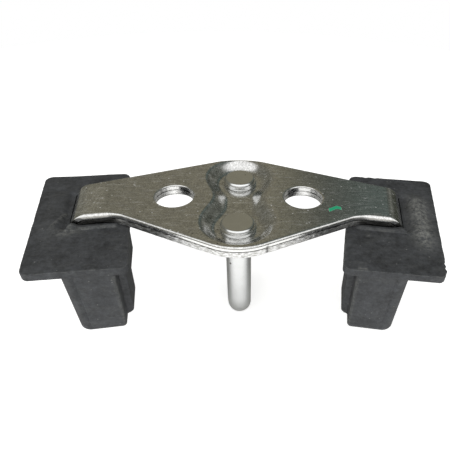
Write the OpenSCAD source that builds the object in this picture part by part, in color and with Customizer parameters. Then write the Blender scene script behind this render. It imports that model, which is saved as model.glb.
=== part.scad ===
// Boot lid striker: a pressed steel plate with two bolt holes, a round rod loop
// staked into it, and a moulded rubber buffer pushed onto each bent end of the plate.
// Origin: midway between the bolt holes on the mounting face. X runs along the bolt
// line, Y towards the rear edge of the plate, Z up out of the mounting face.

/* [Bolt holes] */
// Distance between the centres of the two bolt holes
bolt_spacing = 33.4; // [28:0.2:37]
// Diameter of each bolt hole
bolt_hole_d = 10; // [6:0.2:11]

/* [Plate] */
// Thickness of the steel sheet
sheet_t = 3; // [2:0.1:3.6]
// Where the two straight rear edges would meet, behind the bolt line
rear_apex = 20.9; // [19:0.1:25]
// Radius that rounds the rear point
rear_nose_r = 19; // [8:0.5:26]
// Where the two straight front edges would meet, in front of the bolt line
front_apex = 22.5; // [20:0.1:26]
// Radius that rounds the front point
front_nose_r = 14; // [6:0.5:20]
// Radius of the hollow where each front edge runs into its tongue
tongue_root_r = 8; // [2:0.5:12]

/* [Tongues] */
// How far each tongue and its buffer are turned forwards, in degrees
toe = 9; // [4:0.1:14]
// Length of the tongue's straight front edge, from its root to the bend
tongue_run = 7.1; // [4:0.1:9]
// Width of the tongue at its bend
tongue_w = 14.7; // [10:0.1:17]
// Distance of the tongue's front edge behind the front face of the rubber block
tongue_set_back = 16.4; // [14:0.1:18]
// Inner radius of the bend that turns the tongue down
bend_r = 1.5; // [1:0.1:3]
// Depth of the bent tab's lower end below the mounting face
tab_depth = 13; // [9:0.2:16]
// Distance of the bent tab outside the middle of the rubber block
tab_from_middle = 4; // [2:0.1:5]

/* [Pressed recess] */
// Depth of the recess that takes the staked heads
recess_depth = 2.5; // [1.8:0.1:3.2]
// Radius of each round lobe of the recess at the mounting face
lobe_r = 8.8; // [8:0.1:9.4]
// Half the width of the waist between the lobes at the mounting face
waist_half = 6.3; // [5:0.1:7.5]
// Sideways run of the sloping wall from the mounting face to the floor
press_run = 2.3; // [1.6:0.1:2.8]
// Sideways thickness of the drawn wall
press_wall = 2.3; // [1.6:0.1:2.6]

/* [Loop] */
// Distance between the centres of the two legs
leg_spacing = 20.6; // [18:0.2:22]
// Diameter of the round rod
rod_d = 6.4; // [5.6:0.1:7.4]
// Depth of the loop's lowest point below the mounting face
loop_depth = 36; // [28:0.5:46]
// Radius of the loop's corners at the middle of the rod
loop_bend_r = 8; // [5:0.2:8.8]
// Diameter of the turned end that passes through the plate
spigot_d = 5; // [4:0.1:5.4]
// Diameter of each staked head
head_d = 9; // [7.4:0.1:10.4]
// How far the heads lie below the mounting face
head_sink = 0.5; // [0.2:0.1:1]
// Gap around the turned end in its hole
stake_gap = 0.1; // [0.05:0.05:0.3]

/* [Rubber buffers] */
// Distance of each buffer's centre from the middle of the plate
buffer_x = 39.4; // [37:0.1:42]
// Distance of each buffer's centre in front of the bolt line
buffer_front = 5.4; // [4:0.1:8]
// Width of the flange
flange_w = 23.2; // [20:0.1:27]
// Length of the flange
flange_l = 41.2; // [39:0.1:48]
// Thickness of the flange
flange_t = 2; // [1.4:0.1:3]
// How far the flange's edges are turned out of square, in degrees
flange_rake = 2.3; // [0:0.1:5]
// Radius of the flange's corners
flange_corner_r = 2; // [1:0.1:5]
// Width of the block where it leaves the flange
block_w = 12.2; // [10:0.1:14]
// Length of the block
block_l = 33.6; // [31:0.1:36]
// Depth of the block's foot below the mounting face
foot_depth = 25; // [18:0.2:28]
// Sideways taper of each side of the block over its height
block_taper = 0.4; // [0:0.1:1.2]
// Slope of the block's front and rear faces over its height
end_draft = 1.3; // [0:0.1:2.5]
// Radius of the edges of the foot
foot_edge_r = 1.6; // [0.6:0.1:3]
// Distance from the flange's inner edge to the block
block_inset = 2.6; // [2.2:0.1:4]
// Distance from the flange's front edge to the block
block_set_back = 0.2; // [0.1:0.1:4]

/* [Buffer details] */
// How far the rib stands out from the block's inner side
rib_out = 1.7; // [0.6:0.1:2.2]
// Length of the rib
rib_l = 8.7; // [4:0.1:12]
// Distance from the block's front face to the rib
rib_set_back = 4.4; // [2:0.1:8]
// How far the rib stops above the block's foot
rib_short = 1.2; // [0.4:0.1:4]
// Height of the lip outside the bent tongue
lip_h = 0.8; // [0.4:0.1:2]
// Distance from the tab to the lip
lip_gap = 1.9; // [0.5:0.1:3]
// Distance from the lip to the flange's outer edge
lip_inset = 2.1; // [0.5:0.1:4]
// Thickness of the rubber around the tab, where the tab reaches past the block
pocket_wall = 2; // [1.2:0.1:3]
// Gap between the tab and the walls of its slot
slot_gap = 0.15; // [0.05:0.05:0.4]

/* [Hidden] */
$fn = 64;
// Straight steps in each rounded corner
arc_steps = 10;
// How far a cut runs past the face it opens
past = 1;
// How far the boss runs into the sheet above it
merged = 0.2;
full_turn = 360;
steel = "#b7b4a8";
bright_steel = "#c6c9cb";
rubber = "#2c2d2f";

bend_outer_r = bend_r + sheet_t;
floor_z = -recess_depth;
boss_z = -recess_depth - sheet_t;
flange_z = -sheet_t - flange_t;
leg_y = leg_spacing / 2;

// The buffer's own axes: u runs outwards along the tongue, v towards the rear
seat = [buffer_x, -buffer_front];
block_in = -flange_w / 2 + block_inset;
block_out = block_in + block_w;
block_front = -flange_l / 2 + block_set_back;
block_rear = block_front + block_l;
tab_in = (block_in + block_out) / 2 + tab_from_middle - sheet_t / 2;
tab_out = tab_in + sheet_t;
bend_u = tab_in - bend_r;
root_u = bend_u - tongue_run;
tongue_front = block_front + tongue_set_back;
tongue_rear = tongue_front + tongue_w;

// A point given in the buffer's axes, in the axes of the plate
function seated(u, v) = seat + [u * cos(toe) + v * sin(toe), v * cos(toe) - u * sin(toe)];
function unit(p) = p / norm(p);
// The turn from direction a to direction b, the short way round
function turned_from(a, b) = (b - a + full_turn + full_turn / 2) % full_turn - full_turn / 2;

// The arc of radius r that rounds corner q between its neighbours p and s
function corner_arc(p, q, s, r) =
    let (to_p = unit(p - q), to_s = unit(s - q))
    let (half = acos(to_p * to_s) / 2)
    let (middle = q + unit(to_p + to_s) * r / sin(half))
    let (from = q + to_p * r / tan(half) - middle, to = q + to_s * r / tan(half) - middle)
    let (start = atan2(from.y, from.x), sweep = turned_from(start, atan2(to.y, to.x)))
    [for (k = [0:arc_steps])
        let (angle = start + sweep * k / arc_steps)
        middle + r * [cos(angle), sin(angle)]];

// An outline through corners given as [point, radius], with radius 0 left sharp
function rounded(corners) =
    let (n = len(corners))
    [for (i = [0:n - 1])
        let (before = corners[(i + n - 1) % n][0], here = corners[i][0], after = corners[(i + 1) % n][0])
        each corners[i][1] == 0 ? [here] : corner_arc(before, here, after, corners[i][1])];

function mirrored(p) = [-p.x, p.y];

// The right-hand corners of the plate seen from above, from the rear, round the tab, to the front
right_corners = [
    [seated(bend_u, tongue_rear), 0],
    [seated(tab_out + past, tongue_rear), 0],
    [seated(tab_out + past, tongue_front), 0],
    [seated(root_u, tongue_front), tongue_root_r]
];
plate_corners = concat(
    [[[0, rear_apex], rear_nose_r]],
    right_corners,
    [[[0, -front_apex], front_nose_r]],
    [for (i = [len(right_corners) - 1:-1:0]) [mirrored(right_corners[i][0]), right_corners[i][1]]]
);

// Places a child drawn in the buffer's axes on the right side, or its mirror image on the left
module on_seat(side) {
    mirror([side < 0 ? 1 : 0, 0, 0])
        translate([seat.x, seat.y, 0])
            rotate([0, 0, -toe])
                children();
}

// One half of the sheet before its outline is cut: flat, a quarter bend and the tab below it
module bent_sheet() {
    flat_l = buffer_x + lobe_r;
    wide = 2 * buffer_x;
    translate([bend_u - flat_l, -wide / 2, -sheet_t])
        cube([flat_l, wide, sheet_t]);
    translate([bend_u, wide / 2, -bend_outer_r])
        rotate([90, 0, 0])
            rotate_extrude(angle = 90)
                translate([bend_r, 0])
                    square([sheet_t, wide]);
    translate([tab_in, -wide / 2, -tab_depth])
        cube([sheet_t, wide, tab_depth - bend_outer_r]);
}

// Twin lobes joined by a waist, sloping by run over the height from low to high
module dog_bone(low, high, lobe, waist, run) {
    for (y = [-leg_y, leg_y])
        translate([0, y, low])
            cylinder(h = high - low, r1 = lobe - run, r2 = lobe);
    translate([0, leg_y, 0])
        rotate([90, 0, 0])
            linear_extrude(leg_spacing)
                polygon([[run - waist, low], [waist - run, low], [waist, high], [-waist, high]]);
}

module striker_plate() {
    // The wall keeps its slope down to the boss below the sheet
    slope = press_run / recess_depth;
    boss_top = merged - sheet_t;
    boss_shift = press_wall + slope * boss_top;
    boss_run = slope * (boss_top - boss_z);
    color(steel)
        difference() {
            union() {
                intersection() {
                    for (side = [-1, 1])
                        on_seat(side)
                            bent_sheet();
                    translate([0, 0, -tab_depth - past])
                        linear_extrude(tab_depth + 2 * past)
                            polygon(rounded(plate_corners));
                }
                dog_bone(boss_z, boss_top, lobe_r + boss_shift, waist_half + boss_shift, boss_run);
            }
            dog_bone(floor_z, 0, lobe_r, waist_half, press_run);
            for (y = [-leg_y, leg_y])
                translate([0, y, boss_z - past])
                    cylinder(h = sheet_t + 2 * past, d = spigot_d + 2 * stake_gap);
            for (x = [-bolt_spacing / 2, bolt_spacing / 2])
                translate([x, 0, -sheet_t - past])
                    cylinder(h = sheet_t + 2 * past, d = bolt_hole_d);
        }
}

module striker_loop() {
    corner_z = rod_d / 2 + loop_bend_r - loop_depth;
    corner_y = leg_y - loop_bend_r;
    color(bright_steel)
        union() {
            for (side = [-1, 1]) {
                translate([0, side * leg_y, floor_z])
                    cylinder(h = recess_depth - head_sink, d = head_d);
                translate([0, side * leg_y, boss_z])
                    cylinder(h = sheet_t, d = spigot_d);
                translate([0, side * leg_y, corner_z])
                    cylinder(h = boss_z - corner_z, d = rod_d);
                translate([0, side * corner_y, corner_z])
                    rotate([90, 0, side * 90])
                        rotate_extrude(angle = -90)
                            translate([loop_bend_r, 0])
                                circle(d = rod_d);
            }
            translate([0, corner_y, corner_z - loop_bend_r])
                rotate([90, 0, 0])
                    cylinder(h = 2 * corner_y, d = rod_d);
        }
}

// A section that narrows from the flange down to a foot with rounded edges
module footed(low, high, draft, depth) {
    top = flange_z + flange_t / 2;
    polygon(rounded([
        [[low, top], 0],
        [[low + draft, -depth], foot_edge_r],
        [[high - draft, -depth], foot_edge_r],
        [[high, top], 0]
    ]));
}

// Extrudes a section drawn in u and z along v
module along_v(from, length) {
    translate([0, from + length, 0])
        rotate([90, 0, 0])
            linear_extrude(length)
                children();
}

// Extrudes a section drawn in v and z along u
module along_u(from, length) {
    translate([from, 0, 0])
        rotate([90, 0, 90])
            linear_extrude(length)
                children();
}

// The block, with its inner rib, cut to the slope of its two ends
module block() {
    intersection() {
        union() {
            along_v(block_front, block_l)
                footed(block_in, block_out, block_taper, foot_depth);
            along_v(block_front + rib_set_back, rib_l)
                footed(block_in - rib_out, (block_in + block_out) / 2, block_taper, foot_depth - rib_short);
        }
        along_u(block_in - rib_out, block_w + rib_out)
            footed(block_front, block_rear, end_draft, foot_depth);
    }
}

// The wall around the tab, where the tab reaches past the block
module pocket() {
    around = slot_gap + pocket_wall;
    bottom = -tab_depth - around;
    translate([tab_in, tongue_front - around, bottom])
        cube([sheet_t + around, tongue_w + 2 * around, flange_z + flange_t / 2 - bottom]);
}

module flange() {
    rake = tan(flange_rake);
    corners = [for (k = [[-1, -1], [1, -1], [1, 1], [-1, 1]])
        let (corner = [k.x * flange_w + k.y * rake * flange_l, k.y * flange_l + k.x * rake * flange_w] / 2)
        [corner, flange_corner_r]];
    translate([0, 0, flange_z])
        linear_extrude(flange_t)
            polygon(rounded(corners));
}

// The low ridge between the bent tongue and the flange's outer edge
module lip() {
    near = tab_out + lip_gap;
    far = flange_w / 2 - lip_inset;
    along_v(tongue_front - slot_gap, tongue_w + 2 * slot_gap)
        polygon([
            [near, -sheet_t],
            [far, -sheet_t],
            [(near + far) / 2, -sheet_t + lip_h]
        ]);
}

// The space that the bent tongue takes up, with its gap
module tongue_slot() {
    width = tongue_w + 2 * slot_gap;
    bottom = -tab_depth - slot_gap;
    translate([tab_in - slot_gap, tongue_front - slot_gap, bottom])
        cube([sheet_t + 2 * slot_gap, width, past - bottom]);
    translate([bend_u, tongue_front - slot_gap, -bend_outer_r])
        cube([bend_outer_r, width, bend_outer_r + past]);
}

module buffer(side) {
    color(rubber)
        on_seat(side)
            difference() {
                union() {
                    flange();
                    block();
                    pocket();
                    lip();
                }
                tongue_slot();
            }
}

module left_buffer() {
    buffer(-1);
}

module right_buffer() {
    buffer(1);
}

striker_plate();
striker_loop();
left_buffer();
right_buffer();
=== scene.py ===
import math

import bmesh
import bpy
import numpy as np
from mathutils import Matrix


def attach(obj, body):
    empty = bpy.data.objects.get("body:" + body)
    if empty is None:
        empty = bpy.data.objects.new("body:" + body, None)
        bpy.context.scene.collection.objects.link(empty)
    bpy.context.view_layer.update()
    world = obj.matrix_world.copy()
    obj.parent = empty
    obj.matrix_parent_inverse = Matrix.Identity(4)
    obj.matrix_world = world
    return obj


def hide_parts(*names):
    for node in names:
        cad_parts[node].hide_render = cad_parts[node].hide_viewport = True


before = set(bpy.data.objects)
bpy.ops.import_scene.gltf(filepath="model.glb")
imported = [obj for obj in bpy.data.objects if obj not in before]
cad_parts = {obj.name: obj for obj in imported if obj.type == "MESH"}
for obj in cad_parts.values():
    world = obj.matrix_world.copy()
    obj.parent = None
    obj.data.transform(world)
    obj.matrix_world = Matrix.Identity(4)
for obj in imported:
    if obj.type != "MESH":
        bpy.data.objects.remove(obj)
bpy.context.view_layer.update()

# Sizes of the part in millimetres, the same as in its solids
MM = 0.001
SHEET = 3.0
BOLT_X = 16.7
HOLE_R = 5.0
TOE = math.radians(9.0)
SEAT = np.array([39.4, -5.4])
OUTWARD = np.array([math.cos(TOE), -math.sin(TOE)])
REARWARD = np.array([math.sin(TOE), math.cos(TOE)])
BEND_U = -1.9
BEND_R = 4.5
TAB_DEPTH = 13.0
ROOT_U = -9.0
TONGUE_FRONT = -4.0
TONGUE_REAR = 10.7
LEG_Y = 10.3
RECESS = 2.5
ROD_R = 3.2


def linear(colour):
    """An sRGB hex colour as linear red, green, blue and an alpha of 1."""
    parts = [int(colour[i:i + 2], 16) / 255 for i in (1, 3, 5)]
    return [c / 12.92 if c <= 0.04045 else ((c + 0.055) / 1.055) ** 2.4 for c in parts] + [1.0]


def add(tree, kind, inputs=None, **settings):
    """Adds a node with its own settings, and sets or links each of its inputs."""
    node = tree.nodes.new(kind)
    for name, value in settings.items():
        setattr(node, name, value)
    for socket, value in (inputs or {}).items():
        if isinstance(value, bpy.types.NodeSocket):
            tree.links.new(value, node.inputs[socket])
        else:
            node.inputs[socket].default_value = value
    return node


def new_tree(name):
    """An empty node tree of a new material, with the material."""
    material = bpy.data.materials.new(name)
    material.use_nodes = True
    material.node_tree.nodes.clear()
    return material, material.node_tree


def ease(x):
    """Rises smoothly from 0 at x = 0 to 1 at x = 1, flat at both ends."""
    x = np.clip(x, 0.0, 1.0)
    return x * x * x * (x * (6 * x - 15) + 10)


def window(x, low, high, soft):
    """1 between low and high, falling to 0 over soft on either side of each end."""
    return ease((x - low) / soft + 0.5) * ease((high - x) / soft + 0.5)


def wander(turns, size, seed, waves=(3, 5, 8, 13, 21)):
    """A closed wobble: sine waves with whole numbers of turns, each lower as it gets finer."""
    phases = np.random.default_rng(seed).uniform(0, 2 * math.pi, len(waves))
    return size * sum(np.sin(2 * math.pi * w * turns + p) / (1 + k) for k, (w, p) in enumerate(zip(waves, phases)))


def rounded(corners, radii, steps, sides, closed):
    """Each corner becomes an arc of its radius, tangent to its two sides, and each side an even row of points.

    An arc's middle lies on the corner's bisector, at the radius over the sine of half the corner's angle."""
    corners = np.asarray(corners, float)
    n = len(corners)
    pieces = []
    starts, ends = [], []
    for i in range(n):
        here = corners[i]
        if radii[i] == 0:
            arc = here[None, :]
        else:
            back = corners[i - 1] - here
            on = corners[(i + 1) % n] - here
            back, on = back / np.linalg.norm(back), on / np.linalg.norm(on)
            half = math.acos(np.clip(back @ on, -1, 1)) / 2
            middle = here + (back + on) / np.linalg.norm(back + on) * radii[i] / math.sin(half)
            first = here + back * radii[i] / math.tan(half) - middle
            last = here + on * radii[i] / math.tan(half) - middle
            a = math.atan2(first[1], first[0])
            sweep = (math.atan2(last[1], last[0]) - a + math.pi) % (2 * math.pi) - math.pi
            angles = a + sweep * np.linspace(0, 1, steps)
            arc = middle + radii[i] * np.stack([np.cos(angles), np.sin(angles)], -1)
        starts.append(arc[0])
        ends.append(arc[-1])
        pieces.append(arc)
    out = []
    for i in range(n):
        out.append(pieces[i])
        if i < n - 1 or closed:
            share = np.linspace(0, 1, sides[i] + 2)[1:-1, None]
            out.append(ends[i] * (1 - share) + starts[(i + 1) % n] * share)
    return np.concatenate(out)


def outward_normals(points, closed):
    """Unit normals on the right-hand side of a path, from the difference of each point's neighbours."""
    if closed:
        along = np.roll(points, -1, 0) - np.roll(points, 1, 0)
    else:
        along = np.gradient(points, axis=0)
    along = along / np.linalg.norm(along, axis=1, keepdims=True)
    return np.stack([along[:, 1], -along[:, 0]], -1)


def build(name, patches, node, material):
    """Joins grid patches into one closed mesh in metres that stands for a CAD node.

    A patch is (points[rows, columns, 3] in mm, whether its columns close, {attribute: values[rows, columns]})."""
    points, faces, values, start = [], [], {}, 0
    for grid, closed, layers in patches:
        rows, columns = grid.shape[:2]
        index = start + np.arange(rows * columns).reshape(rows, columns)
        right = np.roll(index, -1, 1) if closed else index[:, 1:]
        left = index if closed else index[:, :-1]
        faces.append(np.stack([left[:-1], right[:-1], right[1:], left[1:]], -1).reshape(-1, 4))
        points.append(grid.reshape(-1, 3) * MM)
        for key, value in layers.items():
            values.setdefault(key, []).append(np.broadcast_to(value, (rows, columns)).ravel())
        start += rows * columns
    mesh = bpy.data.meshes.new(name)
    mesh.from_pydata(np.concatenate(points), [], np.concatenate(faces))
    for key, value in values.items():
        layer = mesh.attributes.new(key, "FLOAT", "POINT")
        layer.data.foreach_set("value", np.concatenate(value).astype(np.float32))
    work = bmesh.new()
    work.from_mesh(mesh)
    bmesh.ops.remove_doubles(work, verts=work.verts, dist=1.5e-6)
    bmesh.ops.holes_fill(work, edges=work.edges, sides=0)
    bmesh.ops.recalc_face_normals(work, faces=work.faces)
    work.to_mesh(mesh)
    work.free()
    mesh.polygons.foreach_set("use_smooth", np.ones(len(mesh.polygons), bool))
    mesh.materials.append(material)
    piece = bpy.data.objects.new(name, mesh)
    bpy.context.scene.collection.objects.link(piece)
    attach(piece, "root")
    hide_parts(node)
    return piece


# The pressed plate

def seated(u, v):
    """A point of the right-hand buffer's axes in the axes of the plate."""
    return SEAT + np.multiply.outer(u, OUTWARD) + np.multiply.outer(v, REARWARD)


def bent(flat, depth):
    """Lays the flat blank onto the finished sheet, at a depth below its upper face.

    Past the bend line a point turns about the bend's axis by its distance over the outer radius, up to
    a quarter turn, and then runs straight down. The left half is the mirror image."""
    side = np.where(flat[..., 0] < 0, -1.0, 1.0)
    from_seat = np.stack([flat[..., 0] * side, flat[..., 1]], -1) - SEAT
    u, v = from_seat @ OUTWARD, from_seat @ REARWARD
    turn = np.clip((u - BEND_U) / BEND_R, 0, math.pi / 2)
    below = np.maximum(u - BEND_U - BEND_R * math.pi / 2, 0)
    reach = np.minimum(u, BEND_U) + (BEND_R - depth) * np.sin(turn)
    z = (BEND_R - depth) * np.cos(turn) - BEND_R - below
    placed = SEAT + reach[..., None] * OUTWARD + v[..., None] * REARWARD
    return np.stack([placed[..., 0] * side, placed[..., 1], z], -1)


def pressed(flat, spread):
    """Depth of the pressing: full on the floor, and easing out over a soft wall.

    The edge is the smooth union of two circles and the waist's band, so that each lobe flows into the waist."""
    x, y = np.abs(flat[..., 0]), np.abs(flat[..., 1])
    lobe = np.hypot(x, y - LEG_Y) - 10.2 - spread
    waist = np.maximum(x - 7.5 - spread, y - LEG_Y)
    blend, run = 3.4, 5.0
    near = np.maximum(blend - np.abs(lobe - waist), 0) / blend
    edge = np.minimum(lobe, waist) - near * near * blend / 4
    return RECESS * ease(-edge / run)


def plate_patches():
    """The sheet as two halves that meet on the bolt line, and a ring in each bolt hole.

    Each column runs from the bolt line, or from a hole's rim, to a point of the plate's edge, over the edge and
    back below. The edge has a rolled upper corner, a bright burnished band, a small step and a torn lower part."""
    root = seated(ROOT_U, TONGUE_FRONT)
    front_end, rear_end = seated(BEND_U, TONGUE_FRONT), seated(BEND_U, TONGUE_REAR)
    flip = np.array([-1, 1])
    steps, sides = 60, [40] * 4
    front_line = rounded([root * flip, (0, -22.5), root, front_end], [0, 14, 8, 0], steps, sides, False)
    rear_line = rounded([rear_end * flip, (0, 20.9), rear_end], [0, 19, 0], steps, sides, False)
    rim_r = HOLE_R + 0.4
    centre_x = np.linspace(0, BOLT_X - rim_r, 46)[:-1]
    around = np.linspace(math.pi, 0, 41)
    hole_x = BOLT_X - rim_r + 2 * rim_r * np.linspace(0, 1, 41)
    out = np.linspace(0, 1, 30)[1:]
    tab_u = BEND_U + np.concatenate([
        np.linspace(0, BEND_R * math.pi / 2, 30)[1:],
        BEND_R * math.pi / 2 + np.linspace(0, TAB_DEPTH - BEND_R, 5)[1:]])

    def edge(line, end, v):
        x = np.concatenate([centre_x, hole_x, hole_x[-1] + out * (end[0] - hole_x[-1])])
        flat = np.stack([x, np.interp(x, line[:, 0], line[:, 1])], -1)
        return np.concatenate([flat, seated(tab_u, np.full(len(tab_u), v))])

    front, rear = edge(front_line, front_end, TONGUE_FRONT), edge(rear_line, rear_end, TONGUE_REAR)
    share = front[:, 1] / (front[:, 1] - rear[:, 1])
    last = len(centre_x) + len(hole_x) + len(out)
    share[last:] = share[last - 1]
    middle = front + share[:, None] * (rear - front)
    ring = np.stack([np.cos(around), np.sin(around)], -1)
    hole = slice(len(centre_x), len(centre_x) + len(hole_x))
    patches = []
    for direction, line in ((-1, front), (1, rear)):
        inner = middle.copy()
        inner[hole] = [BOLT_X, 0] + rim_r * ring * [1, direction]
        inner, line = (np.concatenate([half[:0:-1] * flip, half]) for half in (inner, line))
        normal = outward_normals(line, False) * (-1 if direction > 0 else 1)
        length = np.concatenate([[0], np.cumsum(np.linalg.norm(np.diff(line, axis=0), axis=1))])
        u = (np.stack([np.abs(line[:, 0]), line[:, 1]], -1) - SEAT) @ OUTWARD
        if direction < 0:
            roll = (0.62 + 0.5 * window(u, -7.5, -0.6, 3.0)) * (1 - ease((u - BEND_U) / 3.6)) + 0.1
            mark = np.exp(-((line[:, 0] - 7.1) / 0.2) ** 2)
            # Painted shade and painted dark reflection on the cut edge, along the tongue and past the bend
            painted_edge_shade = window(u, -9.0, 99.0, 2.0)
        else:
            roll, mark, painted_edge_shade = np.full(len(line), 0.4), np.zeros(len(line)), np.zeros(len(line))
        at_bend = ease((u - 0.2) / 1.4)
        chance = np.random.default_rng(12 + direction)
        top = np.concatenate([np.linspace(0, 1, 74)[:-1], [0.993, 1.0]])
        turn = np.linspace(0, math.pi / 2, 9)[1:]
        back = np.concatenate([[1.0, 0.985], np.linspace(1, 0, 38)[1:]])
        wall_in = np.array([0.0, 0.0, 0.12, 0.12, 0.06, 0.03, 0.0, 0.02, 0.1])
        wall_at = np.array([0.0, 1.25, 1.32, 1.45, 1.8, 2.3, 2.8, 2.93, 2.99])
        rows, depths, cut = [], [], []
        for t in top:
            rows.append(inner + t * (line - roll[:, None] * normal - inner))
            depths.append(pressed(rows[-1], 0.0))
            cut.append(np.zeros(len(line)))
        at_edge = depths[-1]
        for a in turn:
            rows.append(line - (roll * (1 - math.sin(a)))[:, None] * normal)
            depths.append(at_edge * (1 - math.sin(a)) + roll * (1 - math.cos(a)))
            cut.append((0.35 + 0.65 * at_bend) * a / (math.pi / 2))
        for inset, depth in zip(wall_in, wall_at):
            tear = np.convolve(chance.normal(size=len(line) + 2), [0.25, 0.5, 0.25], "valid")
            torn = depth > 1.3
            inward = np.maximum(inset * (1 + 0.8 * tear) + 0.05 * torn * np.abs(tear), 0) + 0.2 * mark
            rows.append(line - inward[:, None] * normal)
            depths.append(np.full(len(line), depth) if depth else (roll + 1.25) / 2)
            cut.append(np.full(len(line), 1.0) if torn else 0.5 + 0.5 * at_bend)
        for t in back:
            rows.append(inner + t * (line - 0.25 * normal - inner))
            depths.append(SHEET + pressed(rows[-1], -0.5))
            cut.append(np.zeros(len(line)))
        grid = bent(np.stack(rows), np.stack(depths))
        cut = np.stack(cut)
        flat = np.stack(rows)
        to_seat = np.stack([-flat[..., 0], flat[..., 1]], -1) - SEAT
        rub = window(to_seat @ OUTWARD, -5.5, 2.0, 2.5) * window(to_seat @ REARWARD, -2.5, 9.5, 3.0) * (cut == 0)
        # The mark attribute holds the nick's darkening and the painted shade: on the torn part along the tongue and on
        # the whole cut edge past the bend
        layers = {"cut": cut, "run": length[None, :] * MM, "down": np.stack(depths) * MM, "rub": rub, "mark": np.maximum.reduce([cut * mark, 0.85 * ease((cut - 0.5) / 0.4) * painted_edge_shade,
                                             0.85 * (cut > 0) * ease((u - 0.4) / 1.2) * painted_edge_shade])}
        patches.append((grid, False, layers))
        small = np.linspace(0, math.pi / 2, 6)
        radius = np.concatenate([rim_r - 0.4 * np.sin(small), [HOLE_R] * 3, HOLE_R + 0.4 * (1 - np.cos(small))])
        depth = np.concatenate([0.4 * (1 - np.cos(small)), [1.0, 1.6, 2.2], SHEET - 0.4 * (1 - np.sin(small))])
        for side in (-1, 1):
            flat = [BOLT_X, 0] + radius[:, None, None] * (ring * [1, direction])[None]
            spun = np.concatenate([flat * [side, 1], -np.broadcast_to(depth[:, None, None], flat.shape[:2] + (1,))], -1)
            layers = {"cut": np.where((radius == HOLE_R) & (depth > 1.2), 0.8, 0.2)[:, None],
                      "run": (around * HOLE_R * MM)[None, :], "down": depth[:, None] * MM, "rub": np.zeros((1, 1)), "mark": np.zeros((1, 1))}
            patches.append((spun, False, layers))
    return patches


# The rod loop

def loop_patches():
    """A circle carried along the U of the rod, with a radius that opens into a staked head at each end.

    Each half runs down a leg, round a quarter turn and along to the middle, and the other half mirrors it."""
    top, head_r, across, drop, bow = -0.5, 4.5, 0.75, 1.35, 1.25
    turn = np.linspace(0, math.pi / 2, 12)
    z = np.concatenate([[top] * 4, top - drop * (1 - np.clip(np.cos(turn), 0, 1) ** bow), [-2.1, -2.3, -2.5, -2.5, -2.5],
                        [-4.0, -5.5, -5.5, -5.56], np.linspace(-6.0, -24.8, 26)])
    r = np.concatenate([[0.0, 1.2, 2.4, 3.3], head_r - across * (1 - np.sin(turn) ** bow), [4.5, 4.45, 4.25, 3.4, 2.5],
                        [2.5, 2.5, 3.12, 3.2], np.full(26, ROD_R)])
    y = np.full(len(z), LEG_Y)
    bend = np.linspace(0, math.pi / 2, 25)[1:]
    y = np.concatenate([y, 2.3 + 8 * np.cos(bend), np.linspace(2.3, 0, 7)[1:]])
    tangent = np.concatenate([np.zeros(len(z)), bend, np.full(6, math.pi / 2)])
    z = np.concatenate([z, -24.8 - 8 * np.sin(bend), np.full(6, -32.8)])
    r = np.concatenate([r, np.full(30, ROD_R)])
    along = np.stack([-np.sin(tangent), -np.cos(tangent)], -1)
    y, z, r = (np.concatenate([a, b[-2::-1]]) for a, b in ((y, -y), (z, z), (r, r)))
    along = np.concatenate([along, (along * [1, -1])[-2::-1]])
    angle = np.linspace(0, 2 * math.pi, 72, endpoint=False)
    uneven = 1 + np.where(z > -2.6, 1, 0)[:, None] * wander(angle / (2 * math.pi), 0.004, 3, (2, 3, 5, 7))[None]
    wide = r[:, None] * np.minimum(uneven, 1.0)
    grid = np.stack([
        wide * np.cos(angle),
        y[:, None] + wide * np.sin(angle) * along[:, 1:],
        z[:, None] - wide * np.sin(angle) * along[:, :1]], -1)
    length = np.concatenate([[0], np.cumsum(np.hypot(np.diff(y), np.diff(z)))])
    return [(grid, True, {"run": length[:, None] * MM})]


# The rubber buffers

def fold_beside(u, v):
    """1 along the fold beside the tongue's end, a slanting line, and falling off within half a millimetre."""
    return np.exp(-((u - 4.9 + 0.38 * v) / 0.5) ** 2) * window(v, -4.2, 2.2, 2.0)


def flange_top(u, v, side):
    """Height of the flange's upper face: a thin lip along the tongue's front edge that is pinched up at the tongue's
    corner, a hollow where the bent tongue goes in, a low hump outside it, and a fold between the two."""
    ahead = TONGUE_FRONT - v
    pinch = (0.9 if side < 0 else 0.5) * np.exp(-((u - 1.5) / 1.2) ** 2)
    lip = (0.6 + pinch) * ease((ahead - 0.05) / 0.3) * ease((1.6 - ahead) / 0.5) * window(u, -9.2, 3.0, 1.6)
    hollow = -0.6 * np.exp(-((u - 3.7) / 0.9) ** 2) * window(v, TONGUE_FRONT - 0.3, TONGUE_REAR + 1, 2.0)
    hump = np.exp(-((u - 7.2) / 1.9) ** 2) * window(v, TONGUE_FRONT - 1.5, TONGUE_REAR + 0.5, 5.0)
    sag = 0.1 * np.sin(0.21 * u + 1.0) * np.sin(0.13 * v + side)
    return -SHEET - 0.02 + lip + hollow + (0.78 if side > 0 else 0.6) * hump \
        + (0.1 if side > 0 else 0.35) * fold_beside(u, v) - np.abs(sag)


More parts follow.
